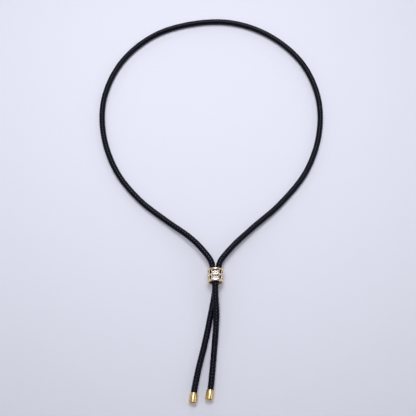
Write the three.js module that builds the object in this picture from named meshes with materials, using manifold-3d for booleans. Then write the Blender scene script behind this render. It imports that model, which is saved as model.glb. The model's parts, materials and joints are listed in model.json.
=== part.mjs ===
// A necklace of one long leather cord, lying flat. The cord is folded into a loop for the neck, and
// its two strands run together through a sliding bead set with stones and end in two tails with
// metal caps. Sliding the bead along both strands makes the loop longer or shorter.
//
// Millimetres. +Z is up and z = 0 is the surface that the necklace lies on. +Y points from the tails
// to the far side of the loop, +X to the right, and the origin is under the middle of the whole.

import * as THREE from "three";
import { mergeVertices } from "three/addons/utils/BufferGeometryUtils.js";
import { ConvexGeometry } from "three/addons/geometries/ConvexGeometry.js";
import Module from "manifold-3d";

const wasm = await Module();
wasm.setup();

// ---- Driving dimensions ----

const cordDiameter = 4;
const cordSides = 12;
const cordRingSpacing = 10; // along the cord's tube, closer where its route bends more

const sliderX = 2.8;
const sliderY = -61.1;
const sliderRadius = 5.9; // of the two end rings, which rest on the surface
const sliderLength = 9.2;
const sliderSides = 40;
const endRingWidth = 1.3;
const middleRingWidth = 1.2;
const middleRingRadius = 5.45;
const ringEdgeRadius = 0.45; // rounding of the rings' outer edges
const ringEdgeSteps = 3;
const boreRadius = 4.35; // two strands pass side by side
const boreChamfer = 0.45; // at the two ends, where the strands spread

const railWidth = 0.5;
const railHeight = 0.3;
const railOffset = 2.45; // from the middle of a stone to the middle of the rail under its edge
const railCentre = 4.2; // distance of a rail's middle from the plane through the slider's axis

const stoneGap = 0.15; // between a stone and the rings on both sides of it
const stoneBack = 4.45; // distances of a stone's levels from the slider's axis
const stoneGirdleLow = 4.65;
const stoneGirdleHigh = 4.75;
const stoneTable = 5.0;
const stoneWidth = 5.4; // across the slider, at the girdle
const tableInset = 0.5; // from the girdle's edge to the table's edge
const backInset = 0.8;

const capLength = 7;
const capMouthRadius = 2.5;
const capEndRadius = 2.8;
const capEdgeRadius = 1.3; // rounding of the closed end
const capBoreRadius = 2.25;
const capBoreDepth = 5.8;
const capSides = 24;
const capLip = 0.15; // chamfer of the mouth's inner edge
// Where the caps' mouths are, and how far each points to the left of straight down.
const leftCap = { x: -11.55, y: -139, turn: THREE.MathUtils.degToRad(6) };
const rightCap = { x: -0.7, y: -137.1, turn: THREE.MathUtils.degToRad(8) };

// The middle line of the cord, from the end inside the left cap to the end inside the right cap.
const cordRoute = [
  // left tail, lifted where it enters its cap and where it leaves the slider
  [-12.1, -144.4, 2.8],
  [-11.45, -138.4, 2.75],
  [-8.9, -125.0, 2.25],
  [-4.4, -106.5, 2.05],
  [-0.6, -88.0, 2.15],
  [2.4, -70.5, 3.4],
  // left strand in the slider, turning from under the right one to beside it
  [2.2, -65.8, 3.8],
  [1.3, -62.0, 4.4],
  [0.75, -58.5, 5.2],
  [0.7, -54.6, 5.75],
  // left arm, sinking to the surface
  [-0.15, -50.8, 6.0],
  [-5.7, -42.8, 5.9],
  [-15.0, -33.0, 4.8],
  [-32.0, -20.0, 2.9],
  // round the loop, clockwise from its lower left
  [-52.0, -3.4, 2.15],
  [-69.0, 18.8, 2.0],
  [-79.5, 48.5, 2.0],
  [-79.9, 78.8, 2.0],
  [-67.8, 108.9, 2.0],
  [-43.9, 131.8, 2.0],
  [-14.5, 142.3, 2.0],
  [16.0, 143.2, 2.0],
  [44.5, 132.0, 2.0],
  [68.3, 109.1, 2.0],
  [80.0, 79.5, 2.0],
  [79.6, 48.3, 2.0],
  [68.9, 18.2, 2.05],
  [49.3, -7.0, 2.4],
  // right arm, rising to the slider
  [28.5, -26.3, 4.2],
  [14.9, -39.7, 5.6],
  [6.2, -50.7, 6.05],
  // right strand in the slider, turning from beside the left one to on top of it
  [5.05, -54.6, 6.1],
  [4.8, -58.5, 6.6],
  [4.3, -62.0, 7.4],
  [3.15, -65.8, 8.0],
  // right tail, coming down beside the left one and lifted again at its cap
  [2.65, -71.5, 7.7],
  [3.4, -87.5, 5.2],
  [1.7, -112.5, 2.2],
  [-0.47, -135.5, 2.8],
  [-1.45, -142.5, 2.8],
];

// ---- Materials ----

const leather = new THREE.MeshStandardMaterial({ color: 0x17171c, roughness: 0.45, metalness: 0 });
const paleGold = new THREE.MeshStandardMaterial({ color: 0xe0bd8c, roughness: 0.2, metalness: 1 });
const yellowGold = new THREE.MeshStandardMaterial({ color: 0xdcb764, roughness: 0.2, metalness: 1 });
const crystal = new THREE.MeshStandardMaterial({ color: 0xeceaf4, roughness: 0.05, metalness: 0 });

// ---- Helpers ----

// The same surface with each corner stored once and nothing but its position.
function weld(geometry) {
  const bare = geometry.clone();
  bare.deleteAttribute("normal");
  bare.deleteAttribute("uv");
  return mergeVertices(bare, 1e-4);
}

function toManifold(geometry) {
  const welded = weld(geometry);
  return new wasm.Manifold(new wasm.Mesh({
    numProp: 3,
    vertProperties: Float32Array.from(welded.attributes.position.array),
    triVerts: Uint32Array.from(welded.index.array),
  }));
}

function fromManifold(solid) {
  const mesh = solid.getMesh();
  const geometry = new THREE.BufferGeometry();
  geometry.setAttribute("position", new THREE.BufferAttribute(mesh.vertProperties, 3));
  geometry.setIndex(new THREE.BufferAttribute(mesh.triVerts, 1));
  geometry.computeVertexNormals();
  return geometry;
}

function namedMesh(name, geometry, material) {
  const mesh = new THREE.Mesh(geometry, material);
  mesh.name = name;
  return mesh;
}

// Points of a quarter circle round (r, y), from one angle to another.
function arc(r, y, radius, from, to, steps) {
  const points = [];
  for (let i = 0; i <= steps; i += 1) {
    const angle = from + ((to - from) * i) / steps;
    points.push(new THREE.Vector2(r + radius * Math.cos(angle), y + radius * Math.sin(angle)));
  }
  return points;
}

// ---- Leather cord ----

// The middle line, whose rings are spaced within each stretch between two points of the route, so
// that every point has its own ring and short stretches keep theirs.
class CordPath extends THREE.CatmullRomCurve3 {
  constructor(points) {
    super(points);
    this.rings = [0];
    for (let i = 1; i < points.length; i += 1) {
      const stretch = points[i].distanceTo(points[i - 1]);
      const count = Math.max(1, Math.round(stretch / cordRingSpacing));
      for (let k = 1; k <= count; k += 1) {
        this.rings.push((i - 1 + k / count) / (points.length - 1));
      }
    }
  }

  getUtoTmapping(u) {
    return this.rings[Math.round(u * (this.rings.length - 1))];
  }
}

function makeCord() {
  const path = new CordPath(cordRoute.map((point) => new THREE.Vector3(...point)));
  const section = new THREE.Shape();
  for (let i = 0; i < cordSides; i += 1) {
    const angle = (2 * Math.PI * i) / cordSides;
    const x = (cordDiameter / 2) * Math.cos(angle);
    const y = (cordDiameter / 2) * Math.sin(angle);
    if (i === 0) section.moveTo(x, y);
    else section.lineTo(x, y);
  }
  const steps = path.rings.length - 1;
  return weld(new THREE.ExtrudeGeometry(section, { steps, extrudePath: path }));
}

// ---- Slider ----

// A ring round the slider's axis with rounded outer edges, its bore opened by a chamfer at one end
// (side +1 or -1 along the axis) or at neither (0).
function ringSolid(outerRadius, width, centre, chamferSide) {
  const low = centre - width / 2;
  const high = centre + width / 2;
  const r = outerRadius - ringEdgeRadius;
  const lowChamfer = chamferSide < 0 ? boreChamfer : 0;
  const highChamfer = chamferSide > 0 ? boreChamfer : 0;
  const profile = [
    new THREE.Vector2(boreRadius + lowChamfer, low),
    ...arc(r, low + ringEdgeRadius, ringEdgeRadius, -Math.PI / 2, 0, ringEdgeSteps),
    ...arc(r, high - ringEdgeRadius, ringEdgeRadius, 0, Math.PI / 2, ringEdgeSteps),
    new THREE.Vector2(boreRadius + highChamfer, high),
  ];
  if (highChamfer > 0) profile.push(new THREE.Vector2(boreRadius, high - highChamfer));
  if (lowChamfer > 0) profile.push(new THREE.Vector2(boreRadius, low + lowChamfer));
  profile.push(profile[0].clone());
  // Radii are to the flats of the ring, and one flat is at the bottom.
  const toCorner = 1 / Math.cos(Math.PI / sliderSides);
  profile.forEach((point) => point.setX(point.x * toCorner));
  return toManifold(new THREE.LatheGeometry(profile, sliderSides, Math.PI / sliderSides));
}

// A rail along the slider under one edge of the stones on one side. Side 0 faces up, and the others
// follow at quarter turns round the axis.
function railSolid(side, edge) {
  const length = sliderLength - endRingWidth;
  const rail = new THREE.BoxGeometry(railWidth, length, railHeight);
  rail.translate(edge * railOffset, 0, railCentre);
  rail.rotateY((side * Math.PI) / 2);
  return toManifold(rail);
}

function makeSliderFrame() {
  const endCentre = (sliderLength - endRingWidth) / 2;
  let frame = ringSolid(sliderRadius, endRingWidth, endCentre, 1);
  frame = frame.add(ringSolid(sliderRadius, endRingWidth, -endCentre, -1));
  frame = frame.add(ringSolid(middleRingRadius, middleRingWidth, 0, 0));
  for (let side = 0; side < 4; side += 1) {
    frame = frame.add(railSolid(side, 1)).add(railSolid(side, -1));
  }
  return fromManifold(frame);
}

// ---- Stones ----

// A flat step-cut stone that faces up: back, girdle and table are rectangles at their own heights.
function makeStone(height) {
  const levels = [
    { z: stoneBack, inset: backInset, sideInset: backInset / 2 },
    { z: stoneGirdleLow, inset: 0, sideInset: 0 },
    { z: stoneGirdleHigh, inset: 0, sideInset: 0 },
    { z: stoneTable, inset: tableInset, sideInset: tableInset * 0.7 },
  ];
  const corners = [];
  for (const { z, inset, sideInset } of levels) {
    const x = stoneWidth / 2 - inset;
    const y = height / 2 - sideInset;
    corners.push(new THREE.Vector3(x, y, z), new THREE.Vector3(-x, y, z));
    corners.push(new THREE.Vector3(x, -y, z), new THREE.Vector3(-x, -y, z));
  }
  return weld(new ConvexGeometry(corners));
}

function addStones(slider) {
  const windowHeight = (sliderLength - 2 * endRingWidth - middleRingWidth) / 2;
  const rowOffset = (middleRingWidth + windowHeight) / 2;
  const stone = makeStone(windowHeight - 2 * stoneGap);
  const sides = ["top", "right", "bottom", "left"];
  for (const [row, y] of [["loop", rowOffset], ["tail", -rowOffset]]) {
    sides.forEach((side, i) => {
      const mesh = namedMesh(`stone_${row}_${side}`, stone.clone(), crystal);
      mesh.position.y = y;
      mesh.rotation.y = (i * Math.PI) / 2;
      slider.add(mesh);
    });
  }
}

// ---- End caps ----

// A cup with its mouth at y = 0 and its closed end at -y, a little wider at the closed end.
function makeCap() {
  const edge = capEndRadius - capEdgeRadius;
  const profile = [
    new THREE.Vector2(0, -capLength),
    ...arc(edge, capEdgeRadius - capLength, capEdgeRadius, -Math.PI / 2, 0, 4),
    new THREE.Vector2(capMouthRadius, 0),
    new THREE.Vector2(capBoreRadius + capLip, 0),
    new THREE.Vector2(capBoreRadius, -capLip),
    new THREE.Vector2(capBoreRadius, -capBoreDepth),
    new THREE.Vector2(0, -capBoreDepth),
  ];
  return weld(new THREE.LatheGeometry(profile, capSides));
}

function placedCap(name, place) {
  const cap = namedMesh(name, makeCap(), yellowGold);
  cap.position.set(place.x, place.y, capEndRadius);
  cap.rotation.z = -place.turn;
  return cap;
}

// ---- Necklace ----

const necklace = new THREE.Group();
necklace.add(namedMesh("leather_cord", makeCord(), leather));

const slider = new THREE.Group();
slider.position.set(sliderX, sliderY, sliderRadius);
slider.add(namedMesh("slider_frame", makeSliderFrame(), paleGold));
addStones(slider);
necklace.add(slider);

necklace.add(placedCap("cap_left", leftCap));
necklace.add(placedCap("cap_right", rightCap));

export default necklace;
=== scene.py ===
"""A necklace of one long braided leather cord, laid flat on a pale surface.

The cord is folded into a loop for the neck. Its two strands run together through a gold slider that
is set with step-cut stones, and end in two tails with gold caps. Metres, +Z up, z = 0 is the surface,
+Y points from the tails to the far side of the loop.
"""

import json
import math

import bmesh
import bpy
import numpy as np
from bpy.props import FloatProperty, FloatVectorProperty, IntProperty, PointerProperty
from mathutils import Matrix, Vector


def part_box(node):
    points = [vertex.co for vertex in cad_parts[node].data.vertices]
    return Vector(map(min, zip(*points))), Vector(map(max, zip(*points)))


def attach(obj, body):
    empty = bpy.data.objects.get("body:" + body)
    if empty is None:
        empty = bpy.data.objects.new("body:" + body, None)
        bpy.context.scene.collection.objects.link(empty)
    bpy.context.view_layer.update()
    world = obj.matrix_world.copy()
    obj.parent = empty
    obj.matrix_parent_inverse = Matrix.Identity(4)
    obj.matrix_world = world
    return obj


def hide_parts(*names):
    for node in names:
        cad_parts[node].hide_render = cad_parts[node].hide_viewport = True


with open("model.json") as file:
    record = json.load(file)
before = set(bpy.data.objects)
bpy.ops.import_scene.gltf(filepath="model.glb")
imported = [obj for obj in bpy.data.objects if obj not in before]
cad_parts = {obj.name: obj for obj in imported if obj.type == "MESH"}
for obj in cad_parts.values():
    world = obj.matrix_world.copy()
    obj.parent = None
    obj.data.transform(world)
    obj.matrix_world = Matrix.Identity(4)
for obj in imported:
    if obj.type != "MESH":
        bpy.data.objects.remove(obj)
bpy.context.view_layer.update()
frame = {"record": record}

bl_info = {
    "name": "Leather Cord Necklace",
    "version": (1, 0, 0),
    "blender": (4, 5, 0),
    "location": "View3D > Sidebar > Necklace",
    "description": "Models a braided leather cord necklace with a stone-set slider and capped tails",
    "category": "Object",
}

MM = 0.001
NEAR = 0.001 * MM  # places closer than this count as the same

# The middle line of the cord in millimetres, from its end inside the left cap to its end inside the
# right cap.
CORD_ROUTE = [
    # left tail, lifted where it enters its cap and where it leaves the slider
    (-12.1, -144.4, 2.8),
    (-11.45, -138.4, 2.75),
    (-8.9, -125.0, 2.25),
    (-4.4, -106.5, 2.05),
    (-0.6, -88.0, 2.15),
    (2.4, -70.5, 3.4),
    # left strand in the slider, turning from under the right one to beside it
    (2.2, -65.8, 3.8),
    (1.3, -62.0, 4.4),
    (0.75, -58.5, 5.2),
    (0.7, -54.6, 5.75),
    # left arm, sinking to the surface
    (-0.15, -50.8, 6.0),
    (-5.7, -42.8, 5.9),
    (-15.0, -33.0, 4.8),
    (-32.0, -20.0, 2.9),
    # round the loop, clockwise from its lower left
    (-52.0, -3.4, 2.15),
    (-69.0, 18.8, 2.0),
    (-79.5, 48.5, 2.0),
    (-79.9, 78.8, 2.0),
    (-67.8, 108.9, 2.0),
    (-43.9, 131.8, 2.0),
    (-14.5, 142.3, 2.0),
    (16.0, 143.2, 2.0),
    (44.5, 132.0, 2.0),
    (68.3, 109.1, 2.0),
    (80.0, 79.5, 2.0),
    (79.6, 48.3, 2.0),
    (68.9, 18.2, 2.05),
    (49.3, -7.0, 2.4),
    # right arm, rising to the slider
    (28.5, -26.3, 4.2),
    (14.9, -39.7, 5.6),
    (6.2, -50.7, 6.05),
    # right strand in the slider, turning from beside the left one to on top of it
    (5.05, -54.6, 6.1),
    (4.8, -58.5, 6.6),
    (4.3, -62.0, 7.4),
    (3.15, -65.8, 8.0),
    # right tail, coming down beside the left one and lifted again at its cap
    (2.65, -71.5, 7.7),
    (3.4, -87.5, 5.2),
    (1.7, -112.5, 2.2),
    (-0.47, -135.5, 2.8),
    (-1.45, -142.5, 2.8),
]

SLIDER_LOW, SLIDER_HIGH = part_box("slider_frame")
SLIDER_CENTRE = (Vector(SLIDER_LOW) + Vector(SLIDER_HIGH)) / 2
SLIDER_LENGTH = SLIDER_HIGH[1] - SLIDER_LOW[1]
SLIDER_RADIUS = (SLIDER_HIGH[2] - SLIDER_LOW[2]) / 2
STONE_SIDES = ["top", "right", "bottom", "left"]
MOUNTS = {mount["name"]: mount for mount in frame["record"]["mounts"]}


# ---- Settings ----


def length(name, description, millimetres):
    """A size that a user may change, its default given in millimetres."""
    return FloatProperty(
        name=name,
        description=description,
        default=millimetres * MM,
        min=0,
        unit="LENGTH",
        subtype="DISTANCE",
        precision=5,
    )


def colour(name, description, value):
    """A colour that a user may change, linear red, green and blue."""
    return FloatVectorProperty(
        name=name, description=description, default=value, min=0, max=1, subtype="COLOR"
    )


class CordSettings(bpy.types.PropertyGroup):
    """Sizes and colour of the leather cord"""

    diameter: length("Diameter", "Across the braid, from crest to crest", 4.12)
    laces_each_way: IntProperty(
        name="Laces each way",
        description="Laces that wind clockwise, and as many wind the other way",
        default=4,
        min=2,
    )
    lozenge_length: length("Lozenge length", "From one lozenge to the next along the cord", 2.2)
    relief: length("Relief", "How far the laces stand above the creases between them", 0.12)
    leather_colour: colour("Leather", "Colour of the dyed leather", (0.001, 0.001, 0.012))


class SliderSettings(bpy.types.PropertyGroup):
    """Sizes and colour of the slider's rings and rails"""

    bore_radius: length("Bore radius", "Radius of the hole for the two strands", 4.35)
    end_ring_width: length("End ring width", "Width of each end ring along the slider", 1.3)
    middle_ring_width: length("Middle ring width", "Width of the ring between the stones", 1.2)
    middle_ring_radius: length("Middle ring radius", "Outer radius of the middle ring", 5.45)
    edge_radius: length("Edge radius", "Rounding of the rings' outer edges", 0.55)
    rail_width: length("Rail width", "Width of the rails under the stones' edges", 0.6)
    rail_height: length("Rail height", "Height of the rails under the stones' edges", 0.3)
    rail_offset: length("Rail offset", "From a stone's middle to the middle of its rail", 2.6)
    rail_centre: length("Rail distance", "From the slider's axis to the middle of a rail", 4.2)
    gold_colour: colour("Pale gold", "Colour of the slider's plating", (1.0, 0.79, 0.5))


class StoneSettings(bpy.types.PropertyGroup):
    """Sizes and colour of the stones, which are all alike"""

    back: length("Back", "From the slider's axis to a stone's back", 4.45)
    girdle_low: length("Girdle, lower edge", "From the slider's axis to the girdle", 4.65)
    girdle_high: length("Girdle, upper edge", "From the slider's axis to the crown", 4.75)
    table: length("Table", "From the slider's axis to the table", 5.0)
    crystal_colour: colour("Crystal", "Tint of the cut stones", (0.95, 0.91, 0.895))


class CapSettings(bpy.types.PropertyGroup):
    """Sizes and colour of the two end caps"""

    cap_length: length("Length", "From the mouth to the closed end", 7)
    mouth_radius: length("Mouth radius", "Outer radius at the mouth", 2.5)
    end_radius: length("End radius", "Outer radius at the closed end", 2.8)
    edge_radius: length("Edge radius", "Rounding of the closed end", 1.3)
    bore_radius: length("Bore radius", "Radius of the hole for the cord", 2.25)
    bore_depth: length("Bore depth", "Depth of the hole for the cord", 5.8)
    gold_colour: colour("Yellow gold", "Colour of the caps' plating", (0.76, 0.57, 0.26))


class StageSettings(bpy.types.PropertyGroup):
    """The camera, and the surface that the necklace lies on"""

    elevation: FloatProperty(
        name="Camera elevation",
        description="Angle of the camera above the surface",
        default=math.radians(70),
        subtype="ANGLE",
        unit="ROTATION",
    )
    distance: length("Camera distance", "From the camera to the point that it looks at", 554)
    lens: FloatProperty(
        name="Lens",
        description="Focal length in millimetres on a 36 mm wide sensor",
        default=67.15,
        min=1,
    )
    surface_colour: colour("Surface", "Colour of the pale surface", (0.87, 0.88, 0.945))


# ---- Tools for modelling ----


def select_only(*objects):
    """Leaves only these objects selected, the first of them active."""
    bpy.ops.object.select_all(action="DESELECT")
    for item in objects:
        item.select_set(True)
    bpy.context.view_layer.objects.active = objects[0]


def select_where(test, kind="verts"):
    """In edit mode, selects the vertices, edges or faces that pass the test, and nothing else."""
    mode = {"verts": "VERT", "edges": "EDGE", "faces": "FACE"}[kind]
    bpy.ops.mesh.select_mode(type=mode)
    bpy.ops.mesh.select_all(action="DESELECT")
    mesh = bpy.context.object.data
    shape = bmesh.from_edit_mesh(mesh)
    for item in getattr(shape, kind):
        if test(item):
            item.select_set(True)
    shape.select_flush_mode()
    bmesh.update_edit_mesh(mesh)


def edge_middle(edge):
    """The point halfway along an edge."""
    return (edge.verts[0].co + edge.verts[1].co) / 2


def clean_up():
    """In edit mode, merges doubled points and turns all faces outwards."""
    bpy.ops.mesh.select_all(action="SELECT")
    bpy.ops.mesh.remove_doubles(threshold=0.002 * MM)
    bpy.ops.mesh.normals_make_consistent(inside=False)


def apply_place(item):
    """Moves the object's place into its mesh."""
    select_only(item)
    bpy.ops.object.transform_apply(location=True, rotation=True, scale=True)


def apply_modifier(item, kind, **values):
    """Adds a modifier with these values and applies it."""
    select_only(item)
    modifier = item.modifiers.new(kind.title(), kind)
    for name, value in values.items():
        setattr(modifier, name, value)
    bpy.ops.object.modifier_apply(modifier=modifier.name)


def joined(objects):
    """The objects as one."""
    select_only(*objects)
    bpy.ops.object.join()
    return bpy.context.object


def shade_smooth(item, degrees):
    """Smooths the shading over all edges that bend by less than this angle."""
    select_only(item)
    bpy.ops.object.shade_smooth_by_angle(angle=math.radians(degrees))


def finish_piece(item, name, material):
    """Names a piece, gives it its material and lets it ride on the part's one body."""
    item.name = name
    item.data.name = name
    item.data.materials.append(material)
    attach(item, "root")


# ---- Materials ----


def add_node(tree, kind, x, y, **values):
    """Adds a node, and sets its properties and, by their names, its input sockets."""
    node = tree.nodes.new(kind)
    node.location = (x, y)
    for name, value in values.items():
        if hasattr(node, name):
            setattr(node, name, value)
        else:
            node.inputs[name.replace("_", " ")].default_value = value
    return node


def new_group(name, inputs, outputs):
    """An empty node group with named float or vector sockets, given as name: default."""
    group = bpy.data.node_groups.new(name, "ShaderNodeTree")
    for title, default in inputs.items():
        kind = "NodeSocketFloat" if isinstance(default, float) else "NodeSocketVector"
        socket = group.interface.new_socket(title, in_out="INPUT", socket_type=kind)
        if kind == "NodeSocketFloat":
            socket.default_value = default
    for title in outputs:
        group.interface.new_socket(title, in_out="OUTPUT", socket_type="NodeSocketFloat")
    return group


def fine_wear_group():
    """Handling marks on polished metal: soft clouds and fine scratches, as one value."""
    group = new_group(
        "Fine wear",
        {"Vector": None, "Cloud scale": 300.0, "Scratch scale": 900.0, "Low": 0.0, "High": 1.0},
        ["Value"],
    )
    cloud_share = 0.6  # the scratches have the rest
    scratch_scale = (1.0, 0.06, 1.0)  # drawn out in one direction
    scratch_tilt = (0.3, 0.2, 0.5)
    start = add_node(group, "NodeGroupInput", -900, 0)
    clouds = add_node(group, "ShaderNodeTexNoise", -600, 200, Detail=3.0, Roughness=0.6)
    stretch = add_node(
        group, "ShaderNodeMapping", -700, -200, Scale=scratch_scale, Rotation=scratch_tilt
    )
    scratches = add_node(group, "ShaderNodeTexNoise", -450, -200, Detail=2.0, Roughness=0.7)
    both = add_node(group, "ShaderNodeMath", -200, 0, operation="MULTIPLY_ADD")
    both.inputs[1].default_value = cloud_share
    scaled = add_node(group, "ShaderNodeMath", -320, -300, operation="MULTIPLY")
    scaled.inputs[1].default_value = 1 - cloud_share
    spread = add_node(group, "ShaderNodeMapRange", 0, 0, From_Min=0.35, From_Max=0.65)
    end = add_node(group, "NodeGroupOutput", 250, 0)
    link = group.links.new
    link(start.outputs["Vector"], clouds.inputs["Vector"])
    link(start.outputs["Cloud scale"], clouds.inputs["Scale"])
    link(start.outputs["Vector"], stretch.inputs["Vector"])
    link(stretch.outputs["Vector"], scratches.inputs["Vector"])
    link(start.outputs["Scratch scale"], scratches.inputs["Scale"])
    link(clouds.outputs["Fac"], both.inputs[0])
    link(scratches.outputs["Fac"], scaled.inputs[0])
    link(scaled.outputs["Value"], both.inputs[2])
    link(both.outputs["Value"], spread.inputs["Value"])
    link(start.outputs["Low"], spread.inputs["To Min"])
    link(start.outputs["High"], spread.inputs["To Max"])
    link(spread.outputs["Result"], end.inputs["Value"])
    return group


def new_material(name):
    """A new material, its node tree and its Principled shader."""
    material = bpy.data.materials.new(name)
    material.use_nodes = True
    return material, material.node_tree, material.node_tree.nodes["Principled BSDF"]


# Roughness of the gold where it is well polished, and where handling has dulled it.
GOLD_ROUGHNESS = (0.22, 0.32)


def gold_material(name, base_colour):
    """Polished plating with handling marks."""
    material, tree, shader = new_material(name)
    shader.inputs["Base Color"].default_value = (*base_colour, 1)
    shader.inputs["Metallic"].default_value = 1
    place = add_node(tree, "ShaderNodeTexCoord", -900, 0)
    wear = add_node(tree, "ShaderNodeGroup", -600, 0)
    wear.node_tree = bpy.data.node_groups.get("Fine wear") or fine_wear_group()
    wear.inputs["Low"].default_value, wear.inputs["High"].default_value = GOLD_ROUGHNESS
    bump = add_node(tree, "ShaderNodeBump", -300, -200, Strength=0.05, Distance=0.01 * MM)
    tree.links.new(place.outputs["Object"], wear.inputs["Vector"])
    tree.links.new(wear.outputs["Value"], shader.inputs["Roughness"])
    tree.links.new(wear.outputs["Value"], bump.inputs["Height"])
    tree.links.new(bump.outputs["Normal"], shader.inputs["Normal"])
    return material


# Scale of the leather's grain along and across the lace.
GRAIN_SCALE = (3.0, 9.0, 1.0)
# The dullest tone of a lozenge, and how much brighter the brightest is.
DULL_TONE = 0.55
TONE_RANGE = 0.35
# Painted shade: the colour in the creases between the laces.
CREASE_SHADE_COLOUR = (0.0005, 0.0005, 0.002)
# Depth of the pores against that of the grain.
PORE_DEPTH = 0.4


def leather_material(base_colour):
    """Dyed and waxed leather laces with painted shade in the creases, each lozenge a little different.
    """
    material, tree, shader = new_material("black leather")
    link = tree.links.new
    lace = add_node(tree, "ShaderNodeUVMap", -1500, 0, uv_map="lace")
    # one value for each lozenge
    snap = add_node(tree, "ShaderNodeVectorMath", -1250, 250, operation="FLOOR")
    lozenge = add_node(tree, "ShaderNodeTexWhiteNoise", -1050, 250, noise_dimensions="2D")
    # grain, drawn out along the lace
    stretch = add_node(tree, "ShaderNodeMapping", -1250, -100, Scale=GRAIN_SCALE)
    grain = add_node(tree, "ShaderNodeTexNoise", -1050, -100, Scale=1.6, Detail=5.0, Roughness=0.65)
    pores = add_node(tree, "ShaderNodeTexVoronoi", -1050, -400, Scale=2.6)
    relief = add_node(tree, "ShaderNodeAttribute", -1050, 550, attribute_name="relief")
    # colour: each lozenge's tone, darkened by painted shade in the creases
    tone = add_node(tree, "ShaderNodeMath", -800, 300, operation="MULTIPLY_ADD")
    tone.inputs[1].default_value = TONE_RANGE
    tone.inputs[2].default_value = DULL_TONE
    tone_and_crease_shade = add_node(tree, "ShaderNodeMath", -600, 400, operation="MULTIPLY")
    # painted shade: the lower the relief, the nearer the colour comes to the crease colour
    shade = add_node(tree, "ShaderNodeMapRange", -800, 550, To_Min=0.35)
    mix = add_node(tree, "ShaderNodeMix", -350, 300, data_type="RGBA")
    mix.inputs["A"].default_value = (*CREASE_SHADE_COLOUR, 1)
    mix.inputs["B"].default_value = (*base_colour, 1)
    # finish: a waxed coat on the crests, rubbed thin over the grain, and left out of the creases as
    # painted shade there
    shader.inputs["Specular IOR Level"].default_value = 0.02
    shader.inputs["Coat Roughness"].default_value = 0.14
    # painted shade: the coat fades out where the relief sinks into the creases
    wax_and_crease_shade = add_node(tree, "ShaderNodeMapRange", -600, 700, From_Min=0.3)
    rubbed = add_node(
        tree,
        "ShaderNodeMapRange",
        -800,
        800,
        From_Min=0.35,
        From_Max=0.65,
        To_Min=0.43,
        To_Max=0.64,
    )
    coat = add_node(tree, "ShaderNodeMath", -400, 750, operation="MULTIPLY")
    polish = add_node(tree, "ShaderNodeMapRange", -600, 0, To_Min=0.3, To_Max=0.5)
    height = add_node(tree, "ShaderNodeMath", -700, -250, operation="MULTIPLY_ADD")
    height.inputs[1].default_value = PORE_DEPTH
    bump = add_node(tree, "ShaderNodeBump", -300, -250, Strength=0.2, Distance=0.05 * MM)
    link(lace.outputs["UV"], snap.inputs[0])
    link(snap.outputs["Vector"], lozenge.inputs["Vector"])
    link(lace.outputs["UV"], stretch.inputs["Vector"])
    link(stretch.outputs["Vector"], grain.inputs["Vector"])
    link(stretch.outputs["Vector"], pores.inputs["Vector"])
    link(lozenge.outputs["Value"], tone.inputs[0])
    link(relief.outputs["Fac"], shade.inputs["Value"])
    link(relief.outputs["Fac"], wax_and_crease_shade.inputs["Value"])
    link(grain.outputs["Fac"], rubbed.inputs["Value"])
    link(wax_and_crease_shade.outputs["Result"], coat.inputs[0])
    link(rubbed.outputs["Result"], coat.inputs[1])
    link(coat.outputs["Value"], shader.inputs["Coat Weight"])
    link(shade.outputs["Result"], tone_and_crease_shade.inputs[0])
    link(tone.outputs["Value"], tone_and_crease_shade.inputs[1])
    link(tone_and_crease_shade.outputs["Value"], mix.inputs["Factor"])
    link(mix.outputs["Result"], shader.inputs["Base Color"])
    link(grain.outputs["Fac"], polish.inputs["Value"])
    link(polish.outputs["Result"], shader.inputs["Roughness"])
    link(pores.outputs["Distance"], height.inputs[0])
    link(grain.outputs["Fac"], height.inputs[2])
    link(height.outputs["Value"], bump.inputs["Height"])
    link(bump.outputs["Normal"], shader.inputs["Normal"])
    return material


def crystal_material(tint):
    """Clear cut crystal."""
    material, _, shader = new_material("crystal")
    shader.inputs["Base Color"].default_value = (*tint, 1)
    shader.inputs["Roughness"].default_value = 0.05
    shader.inputs["IOR"].default_value = 1.6
    shader.inputs["Metallic"].default_value = 0.0
    shader.inputs["Transmission Weight"].default_value = 1
    return material


# ---- Stage ----


# Where the camera looks, and the width of its sensor in millimetres.
CAMERA_AIM = Vector((-2.3 * MM, -9.5 * MM, 0))
SENSOR_WIDTH = 36
SURFACE_SIZE = 40  # metres, so that its edge is never seen from the side
LIGHT_COLOUR = (0.93, 0.925, 1.0)
# Each light panel's name, place, width and height in metres, spread in degrees, which is less than
# 180 for a panel with a grid before it, and power in watts.
LIGHTS = [
    ("key panel", (-0.15, -0.10, 1.0), (0.75, 0.55), 55, 0.45),
    ("ceiling panel", (0.0, 0.40, 1.0), (0.6, 0.46), 60, 0.77),
    ("far panel", (0.0, 1.3, 0.4), (1.6, 0.7), 180, 4.8),
    ("left panel", (-1.1, 0.1, 0.6), (1.4, 0.9), 180, 1.8),
    ("right panel", (1.1, 0.1, 0.6), (1.4, 0.9), 60, 0.62),
]
# The place inside the loop that all panels face.
LIT_PLACE = Vector((-0.005, 0.08, 0))
# The studio air: its colour, the light that it gives, and how pale it looks.
AIR_COLOUR = (0.93, 0.95, 1.0)
AIR_LIGHT = 0.13
AIR_SEEN = 0.7
# The glow of the far surface, and between which distances from the middle, in metres, it sets in.
GLOW = 0.62
GLOW_REACH = (0.28, 0.9)


class NECKLACE_OT_stage(bpy.types.Operator):
    """Adds the surface, the lights and the camera"""

    bl_idname = "necklace.stage"
    bl_label = "Stage"

    def execute(self, context):
        settings = context.scene.necklace_stage
        add_camera(settings)
        add_surface(settings)
        for light in LIGHTS:
            add_light(*light)
        light_world()
        return {"FINISHED"}


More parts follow.
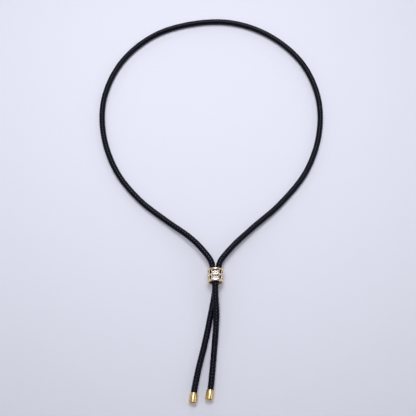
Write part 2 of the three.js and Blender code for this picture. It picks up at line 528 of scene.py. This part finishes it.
def add_camera(settings):
    """A camera before the tails that looks down on the middle of the necklace."""
    forward = Vector((0, math.cos(settings.elevation), -math.sin(settings.elevation)))
    bpy.ops.object.camera_add(
        location=CAMERA_AIM - forward * settings.distance,
        rotation=(math.pi / 2 - settings.elevation, 0, 0),
    )
    camera = bpy.context.object
    camera.data.sensor_width = SENSOR_WIDTH
    camera.data.lens = settings.lens
    camera.data.clip_start = 0.01
    bpy.context.scene.camera = camera


def add_surface(settings):
    """The pale surface under the necklace."""
    bpy.ops.mesh.primitive_plane_add(size=SURFACE_SIZE, location=(0, 0, 0))
    surface = bpy.context.object
    surface.name = "surface"
    surface.data.materials.append(surface_material(settings.surface_colour))


def surface_material(tint):
    """The pale matt surface that the necklace lies on.

    Past the reach of the lights it glows enough to look as pale as under them. The glow is there for
    the eye alone and lights nothing.
    """
    material, tree, shader = new_material("pale surface")
    shader.inputs["Base Color"].default_value = (*tint, 1)
    shader.inputs["Roughness"].default_value = 0.8
    shader.inputs["Specular IOR Level"].default_value = 0.2
    shader.inputs["Emission Color"].default_value = (*tint, 1)
    place = add_node(tree, "ShaderNodeTexCoord", -900, -300)
    away = add_node(tree, "ShaderNodeVectorMath", -700, -300, operation="LENGTH")
    unlit = add_node(
        tree,
        "ShaderNodeMapRange",
        -500,
        -300,
        interpolation_type="SMOOTHSTEP",
        From_Min=GLOW_REACH[0],
        From_Max=GLOW_REACH[1],
        To_Max=GLOW,
    )
    path = add_node(tree, "ShaderNodeLightPath", -500, -600)
    glow = add_node(tree, "ShaderNodeMath", -250, -300, operation="MULTIPLY")
    tree.links.new(place.outputs["Object"], away.inputs[0])
    tree.links.new(away.outputs["Value"], unlit.inputs["Value"])
    tree.links.new(unlit.outputs["Result"], glow.inputs[0])
    tree.links.new(path.outputs["Is Camera Ray"], glow.inputs[1])
    tree.links.new(glow.outputs["Value"], shader.inputs["Emission Strength"])
    return material


def add_light(name, place, size, spread, power):
    """A light panel of this width and height that faces the lit place."""
    bpy.ops.object.light_add(type="AREA", location=place)
    light = bpy.context.object
    light.name = name
    light.rotation_euler = (LIT_PLACE - Vector(place)).to_track_quat("-Z", "Y").to_euler()
    light.data.shape = "RECTANGLE"
    light.data.size, light.data.size_y = size
    light.data.spread = math.radians(spread)
    light.data.energy = power
    light.data.color = LIGHT_COLOUR


def light_world():
    """Studio air, which looks paler to the camera than the light that it gives."""
    world = bpy.data.worlds.new("studio")
    bpy.context.scene.world = world
    world.use_nodes = True
    tree = world.node_tree
    background = tree.nodes["Background"]
    background.inputs["Color"].default_value = (*AIR_COLOUR, 1)
    path = add_node(tree, "ShaderNodeLightPath", -700, 300)
    strength = add_node(tree, "ShaderNodeMapRange", -400, 300, To_Min=AIR_LIGHT, To_Max=AIR_SEEN)
    tree.links.new(path.outputs["Is Camera Ray"], strength.inputs["Value"])
    tree.links.new(strength.outputs["Result"], background.inputs["Strength"])
    bpy.context.scene.view_settings.view_transform = "Standard"


# ---- Leather cord ----


CURVE_STEPS = 200  # steps in each stretch of the route, before it is divided evenly
CELL_STEPS = 6  # faces along each side of a lozenge


class NECKLACE_OT_leather_cord(bpy.types.Operator):
    """Braids the leather cord along its route"""

    bl_idname = "necklace.leather_cord"
    bl_label = "Leather cord"

    def execute(self, context):
        settings = context.scene.necklace_cord
        line = spaced_line(np.array(CORD_ROUTE) * MM, ring_spacing(settings))
        cord = braided_tube("braided cord", line, settings)
        finish_piece(cord, "braided_cord", leather_material(settings.leather_colour))
        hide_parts("leather_cord")
        return {"FINISHED"}


def ring_spacing(settings):
    """Distance from one ring of the tube's points to the next."""
    return settings.lozenge_length / (2 * CELL_STEPS)


def route_curve(route, steps):
    """A smooth curve through all points of the route, with some steps in each stretch.

    It is the centripetal Catmull-Rom curve, in which each stretch is timed by the square root of
    its length.
    """
    ends = np.vstack([2 * route[0] - route[1], route, 2 * route[-1] - route[-2]])
    time = np.linspace(0, 1, steps, endpoint=False)[:, None]
    curve = []
    for before, start, end, after in zip(ends, ends[1:], ends[2:], ends[3:]):
        gaps = [np.linalg.norm(b - a) ** 0.5 for a, b in ((before, start), (start, end), (end, after))]
        leave = (start - before) / gaps[0] - (end - before) / (gaps[0] + gaps[1])
        leave = (leave + (end - start) / gaps[1]) * gaps[1]
        arrive = (end - start) / gaps[1] - (after - start) / (gaps[1] + gaps[2])
        arrive = (arrive + (after - end) / gaps[2]) * gaps[1]
        square = -3 * start + 3 * end - 2 * leave - arrive
        cube = 2 * start - 2 * end + leave + arrive
        curve.append(start + leave * time + square * time**2 + cube * time**3)
    return np.vstack([*curve, route[-1:]])


def spaced_line(route, spacing):
    """Points about that far apart along the smooth curve through the route."""
    curve = route_curve(route, CURVE_STEPS)
    along = np.concatenate([[0], np.cumsum(np.linalg.norm(np.diff(curve, axis=0), axis=1))])
    at = np.linspace(0, along[-1], round(along[-1] / spacing) + 1)
    return np.stack([np.interp(at, along, curve[:, axis]) for axis in range(3)], axis=1)


def ring_axes(line):
    """Two directions across the line at each of its points, which never twist along it."""
    along = np.gradient(line, axis=0)
    along /= np.linalg.norm(along, axis=1)[:, None]
    across = np.cross(along[0], (0, 0, 1))
    sides = []
    for direction in along:
        across = across - direction * (across @ direction)
        across /= np.linalg.norm(across)
        sides.append(across)
    sides = np.array(sides)
    return sides, np.cross(along, sides)


def lace_height(across, along):
    """Height of a lace over its creases, from 0 to 1, at a place in its lozenge.

    Both places run from -0.5 to 0.5. A lace is rounded across, and bends down at both ends of the
    lozenge to pass under its neighbours.
    """
    flatness_across, steepness_along = 6, 0.4
    rounded = np.sqrt(np.clip(1 - np.abs(2 * across) ** flatness_across, 0, 1))
    arched = np.clip(np.cos(np.pi * along), 0, 1) ** steepness_along
    return rounded * arched


def lace_places(ring, turn):
    """Places along the laces that wind one way and along those that wind the other, in lozenges.

    The ring counts along the cord, and the turn counts half faces round it.
    """
    return (ring + turn) / (2 * CELL_STEPS), (ring - turn) / (2 * CELL_STEPS)


def braid_height(ring, turn):
    """Height of the braid over its creases, from 0 to 1."""
    first, second = lace_places(ring, turn)
    first_cell, second_cell = np.round(first), np.round(second)
    return np.where(
        (first_cell - second_cell) % 2 == 0,
        lace_height(second - second_cell, first - first_cell),
        lace_height(first - first_cell, second - second_cell),
    )


def tube_points(line, angle, radius):
    """Points at these angles and radii round the line, then the middles of the tube's two ends."""
    side, up = ring_axes(line)
    points = (
        line[:, None, :]
        + side[:, None, :] * (radius * np.cos(angle))[..., None]
        + up[:, None, :] * (radius * np.sin(angle))[..., None]
    )
    # Soft leather is pressed flat where it lies on the surface.
    points[..., 2] = np.maximum(points[..., 2], 0)
    return np.vstack([points.reshape(-1, 3), line[:1], line[-1:]])


def side_faces(rings, count):
    """Faces between rings of points: lower corner, right corner, upper corner, left corner."""
    lower = np.arange(rings - 2)[:, None]
    column = np.arange(count)[None, :]
    odd = lower % 2
    right = (lower + 1) * count + (column + odd) % count
    left = (lower + 1) * count + (column + odd - 1) % count
    quads = np.stack([lower * count + column, right, (lower + 2) * count + column, left], axis=-1)
    return quads.reshape(-1, 4).tolist()


def end_faces(rings, count):
    """Triangles that close both ends of the tube, each round its middle point."""
    faces = []
    for ring, middle in ((0, rings * count), (rings - 2, rings * count + 1)):
        for i in range(count):
            here, there = ring * count + i, (ring + 1) * count + (i + ring % 2) % count
            before = (ring + 1) * count + (i + ring % 2 - 1) % count
            if ring == 0:
                faces += [[middle, there, here], [middle, here, before]]
            else:
                faces += [[middle, here, there], [middle, before, here]]
    return faces


def lace_coordinates(rings, count):
    """For the corners of each side face, their places along and across its lace, in lozenges."""
    lower = np.arange(rings - 2)[:, None]
    turn = 2 * np.arange(count)[None, :] + lower % 2
    first, second = lace_places(
        np.stack([lower, lower + 1, lower + 2, lower + 1], axis=-1),
        np.stack([turn, turn + 1, turn, turn - 1], axis=-1),
    )
    first_cell = np.round(first.mean(axis=-1, keepdims=True))
    second_cell = np.round(second.mean(axis=-1, keepdims=True))
    # Lozenges that lie across the start of the count round the cord are put together again.
    columns = 2 * count / CELL_STEPS
    wraps = np.floor((first_cell - second_cell) / columns) * columns / 2
    first -= wraps
    second += wraps
    on_first = (first_cell - second_cell) % 2 == 0
    along = np.where(on_first, first, second)
    across = np.where(on_first, second, first + rings)
    return np.stack([along + 0.5, across + 0.5], axis=-1).reshape(-1, 2)


def braided_tube(name, line, settings):
    """A closed tube along the line, with a round braid of laces in relief.

    The laces of each direction lie side by side, and cross at lozenges in columns along the cord.
    Corners of the mesh lie on the laces' edges: each ring is turned by half a step against the
    one before, and a face's corners lie on three rings.
    """
    rings, count = len(line), settings.laces_each_way * CELL_STEPS
    ring = np.arange(rings)[:, None]
    turn = 2 * np.arange(count)[None, :] + ring % 2
    height = braid_height(ring, turn)
    radius = settings.diameter / 2 - settings.relief * (1 - height)
    points = tube_points(line, math.pi * turn / count, radius)
    ends = end_faces(rings, count)
    mesh = bpy.data.meshes.new(name)
    mesh.from_pydata(points.tolist(), [], side_faces(rings, count) + ends)
    relief = mesh.attributes.new("relief", "FLOAT", "POINT")
    relief.data.foreach_set("value", np.append(height.ravel(), [0, 0]))
    lace = mesh.uv_layers.new(name="lace")
    coordinates = np.vstack([lace_coordinates(rings, count), np.zeros((3 * len(ends), 2))])
    lace.uv.foreach_set("vector", coordinates.astype(np.float32).ravel())
    tube = bpy.data.objects.new(name, mesh)
    bpy.context.collection.objects.link(tube)
    shade_smooth(tube, degrees=40)
    return tube


# ---- Slider ----


RING_STEPS = 120  # faces round a ring
BORE_EDGE = 0.3 * MM  # rounding of the rings' edges in the bore
RAIL_EDGE = 0.08 * MM  # rounding of the rails' edges


class NECKLACE_OT_slider(bpy.types.Operator):
    """Models the slider's rings and the rails that hold its stones"""

    bl_idname = "necklace.slider"
    bl_label = "Slider"

    def execute(self, context):
        settings = context.scene.necklace_slider
        end_centre = (SLIDER_LENGTH - settings.end_ring_width) / 2
        rings = joined(
            [
                add_ring(SLIDER_RADIUS, settings.end_ring_width, end_centre, settings),
                add_ring(SLIDER_RADIUS, settings.end_ring_width, -end_centre, settings),
                add_ring(settings.middle_ring_radius, settings.middle_ring_width, 0, settings),
            ]
        )
        rails = joined(
            [add_rail(quarter, edge, settings) for quarter in range(4) for edge in (-1, 1)]
        )
        apply_modifier(rings, "BOOLEAN", object=rails, operation="UNION", solver="EXACT")
        bpy.data.objects.remove(rails)
        shade_smooth(rings, degrees=35)
        gold = gold_material("pale gold", settings.gold_colour)
        finish_piece(rings, "slider_rings", gold)
        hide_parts("slider_frame")
        return {"FINISHED"}


def add_ring(outer, width, place, settings):
    """A ring round the slider's axis: its section, with rounded outer corners, spun once round."""
    inner = settings.bore_radius
    middle = SLIDER_CENTRE + Vector((0, place, (outer + inner) / 2))
    bpy.ops.mesh.primitive_plane_add(size=1, location=middle, rotation=(0, math.pi / 2, 0))
    ring = bpy.context.object
    ring.scale = (outer - inner, width, 1)
    apply_place(ring)
    bpy.ops.object.mode_set(mode="EDIT")
    select_where(lambda vert: vert.co.z > middle.z)
    bpy.ops.mesh.bevel(offset=settings.edge_radius, segments=5, affect="VERTICES")
    select_where(lambda vert: vert.co.z < SLIDER_CENTRE.z + inner + NEAR)
    bpy.ops.mesh.bevel(offset=BORE_EDGE, segments=3, affect="VERTICES")
    bpy.ops.mesh.select_all(action="SELECT")
    bpy.ops.mesh.delete(type="ONLY_FACE")
    bpy.ops.mesh.select_all(action="SELECT")
    bpy.ops.mesh.spin(
        steps=RING_STEPS,
        angle=2 * math.pi,
        center=SLIDER_CENTRE + Vector((0, place, 0)),
        axis=(0, 1, 0),
    )
    clean_up()
    bpy.ops.object.mode_set(mode="OBJECT")
    return ring


def add_rail(quarter, edge, settings):
    """A bar along the slider under one edge of the stones on one side."""
    long = SLIDER_LENGTH - settings.end_ring_width
    place = Vector((edge * settings.rail_offset, 0, settings.rail_centre))
    bpy.ops.mesh.primitive_cube_add(size=1, location=place)
    rail = bpy.context.object
    rail.scale = (settings.rail_width, long, settings.rail_height)
    apply_place(rail)
    bpy.ops.object.mode_set(mode="EDIT")
    select_where(lambda item: abs(edge_middle(item).y) < long / 4, "edges")
    bpy.ops.mesh.bevel(offset=RAIL_EDGE, segments=2)
    bpy.ops.object.mode_set(mode="OBJECT")
    rail.data.transform(Matrix.Rotation(quarter * math.pi / 2, 4, "Y"))
    rail.data.transform(Matrix.Translation(SLIDER_CENTRE))
    return rail


# ---- Stones ----


# The steps of a stone, from the girdle outwards: the part that it belongs to, its share of that
# part's height, and how far it draws in on each side.
STONE_STEPS = [
    ("crown", 0.55, 0.22 * MM),
    ("crown", 0.45, 0.30 * MM),
    ("back", 0.5, 0.35 * MM),
    ("back", 0.5, 0.55 * MM),
]
# How far a step draws in along the slider, against across it.
STEP_ALONG = 0.7


class NECKLACE_OT_stones(bpy.types.Operator):
    """Cuts a stone and sets a copy of it in each window of the slider"""

    bl_idname = "necklace.stones"
    bl_label = "Stones"

    def execute(self, context):
        settings = context.scene.necklace_stones
        crystal = crystal_material(settings.crystal_colour)
        pattern = add_stone(settings)
        for row in ("loop", "tail"):
            for quarter, side in enumerate(STONE_SIDES):
                node = f"stone_{row}_{side}"
                low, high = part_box(node)
                stone = pattern.copy()
                stone.data = pattern.data.copy()
                bpy.context.collection.objects.link(stone)
                stone.data.transform(Matrix.Rotation(quarter * math.pi / 2, 4, "Y"))
                place = Vector((SLIDER_CENTRE.x, (low[1] + high[1]) / 2, SLIDER_CENTRE.z))
                stone.data.transform(Matrix.Translation(place))
                finish_piece(stone, f"cut_{node}", crystal)
                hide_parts(node)
        bpy.data.objects.remove(pattern)
        return {"FINISHED"}


def add_stone(settings):
    """A step-cut stone that faces up over the slider's axis.

    Two steps rise from its girdle to the table, and two sink to its back.
    """
    low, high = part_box("stone_loop_top")
    size = Vector((high[0] - low[0], high[1] - low[1]))
    middle = (settings.girdle_low + settings.girdle_high) / 2
    bpy.ops.mesh.primitive_cube_add(size=1, location=(0, 0, middle))
    stone = bpy.context.object
    stone.scale = (*size, settings.girdle_high - settings.girdle_low)
    apply_place(stone)
    bpy.ops.object.mode_set(mode="EDIT")
    parts = {
        "crown": (1, settings.table - settings.girdle_high),
        "back": (-1, settings.girdle_low - settings.back),
    }
    for part, share, inset in STONE_STEPS:
        facing, height = parts[part]
        step_face(facing, share * height, inset)
    bpy.ops.object.mode_set(mode="OBJECT")
    return stone


def step_face(facing, rise, inset):
    """Extrudes the outermost face that looks up (facing 1) or down (-1), and draws it in."""
    shape = bmesh.from_edit_mesh(bpy.context.object.data)
    end = max(facing * vert.co.z for vert in shape.verts)
    corners = [vert.co for vert in shape.verts if facing * vert.co.z > end - NEAR]
    across = max(corner.x for corner in corners)
    along = max(corner.y for corner in corners)
    select_where(lambda face: facing * face.calc_center_median().z > end - NEAR, "faces")
    bpy.ops.mesh.extrude_region_move(TRANSFORM_OT_translate={"value": (0, 0, facing * rise)})
    bpy.ops.transform.resize(
        value=(1 - inset / across, 1 - STEP_ALONG * inset / along, 1),
        center_override=(0, 0, facing * end),
    )


# ---- End caps ----


CAP_SIDES = 72  # faces round a cap
LIP_EDGE = 0.07 * MM  # rounding of the mouth's edges


class NECKLACE_OT_end_caps(bpy.types.Operator):
    """Turns the two caps on the cord's ends"""

    bl_idname = "necklace.end_caps"
    bl_label = "End caps"

    def execute(self, context):
        settings = context.scene.necklace_caps
        gold = gold_material("yellow gold", settings.gold_colour)
        for node in ("cap_left", "cap_right"):
            cap = add_cap(settings)
            end = MOUNTS[f"{node}_end"]
            outward = Vector(end["axis"])
            turn = outward.to_track_quat("-Y", "Z").to_matrix().to_4x4()
            cap.data.transform(Matrix.Translation(Vector(end["pos_m"])) @ turn)
            finish_piece(cap, f"turned_{node}", gold)
            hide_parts(node)
        return {"FINISHED"}


def add_cap(settings):
    """A cup whose closed end is at y = 0 and whose mouth is towards +y."""
    long = settings.cap_length
    bpy.ops.mesh.primitive_cylinder_add(
        vertices=CAP_SIDES,
        radius=settings.end_radius,
        depth=long,
        location=(0, long / 2, 0),
        rotation=(math.pi / 2, 0, 0),
        end_fill_type="NGON",
    )
    cap = bpy.context.object
    apply_place(cap)
    bpy.ops.object.mode_set(mode="EDIT")
    mouth = settings.mouth_radius / settings.end_radius
    select_where(lambda face: face.normal.y > 0.9, "faces")
    bpy.ops.transform.resize(value=(mouth, 1, mouth), center_override=(0, long, 0))
    bpy.ops.mesh.inset(thickness=settings.mouth_radius - settings.bore_radius)
    bpy.ops.mesh.extrude_region_move(
        TRANSFORM_OT_translate={"value": (0, -settings.bore_depth, 0)}
    )
    select_where(lambda item: edge_middle(item).y > long - NEAR, "edges")
    bpy.ops.mesh.bevel(offset=LIP_EDGE, segments=2)
    select_where(lambda item: all(vert.co.y < NEAR for vert in item.verts), "edges")
    bpy.ops.mesh.bevel(offset=settings.edge_radius, segments=10, profile=0.5)
    clean_up()
    bpy.ops.object.mode_set(mode="OBJECT")
    shade_smooth(cap, degrees=30)
    return cap


# ---- Add-on ----


class NECKLACE_PT_pieces(bpy.types.Panel):
    """Lists the necklace's pieces and their settings"""

    bl_label = "Necklace"
    bl_idname = "NECKLACE_PT_pieces"
    bl_space_type = "VIEW_3D"
    bl_region_type = "UI"
    bl_category = "Necklace"

    def draw(self, context):
        for operator, name in PIECES:
            box = self.layout.box()
            box.operator(operator)
            settings = getattr(context.scene, name)
            for item in settings.bl_rna.properties:
                if item.identifier not in ("rna_type", "name"):
                    box.prop(settings, item.identifier)


PIECES = [
    ("necklace.stage", "necklace_stage"),
    ("necklace.leather_cord", "necklace_cord"),
    ("necklace.slider", "necklace_slider"),
    ("necklace.stones", "necklace_stones"),
    ("necklace.end_caps", "necklace_caps"),
]
SETTINGS = {
    "necklace_stage": StageSettings,
    "necklace_cord": CordSettings,
    "necklace_slider": SliderSettings,
    "necklace_stones": StoneSettings,
    "necklace_caps": CapSettings,
}
CLASSES = [
    *SETTINGS.values(),
    NECKLACE_OT_stage,
    NECKLACE_OT_leather_cord,
    NECKLACE_OT_slider,
    NECKLACE_OT_stones,
    NECKLACE_OT_end_caps,
    NECKLACE_PT_pieces,
]


def register():
    """Adds the settings, the operators and the panel to Blender."""
    for item in CLASSES:
        bpy.utils.register_class(item)
    for name, kind in SETTINGS.items():
        setattr(bpy.types.Scene, name, PointerProperty(type=kind))


def unregister():
    """Takes them out again."""
    for name in SETTINGS:
        delattr(bpy.types.Scene, name)
    for item in reversed(CLASSES):
        bpy.utils.unregister_class(item)


def main():
    """Builds the stage and all pieces."""
    register()
    bpy.ops.necklace.stage()
    bpy.ops.necklace.end_caps()
    bpy.ops.necklace.slider()
    bpy.ops.necklace.stones()
    bpy.ops.necklace.leather_cord()
    bpy.context.view_layer.update()


if __name__ == "__main__":
    main()
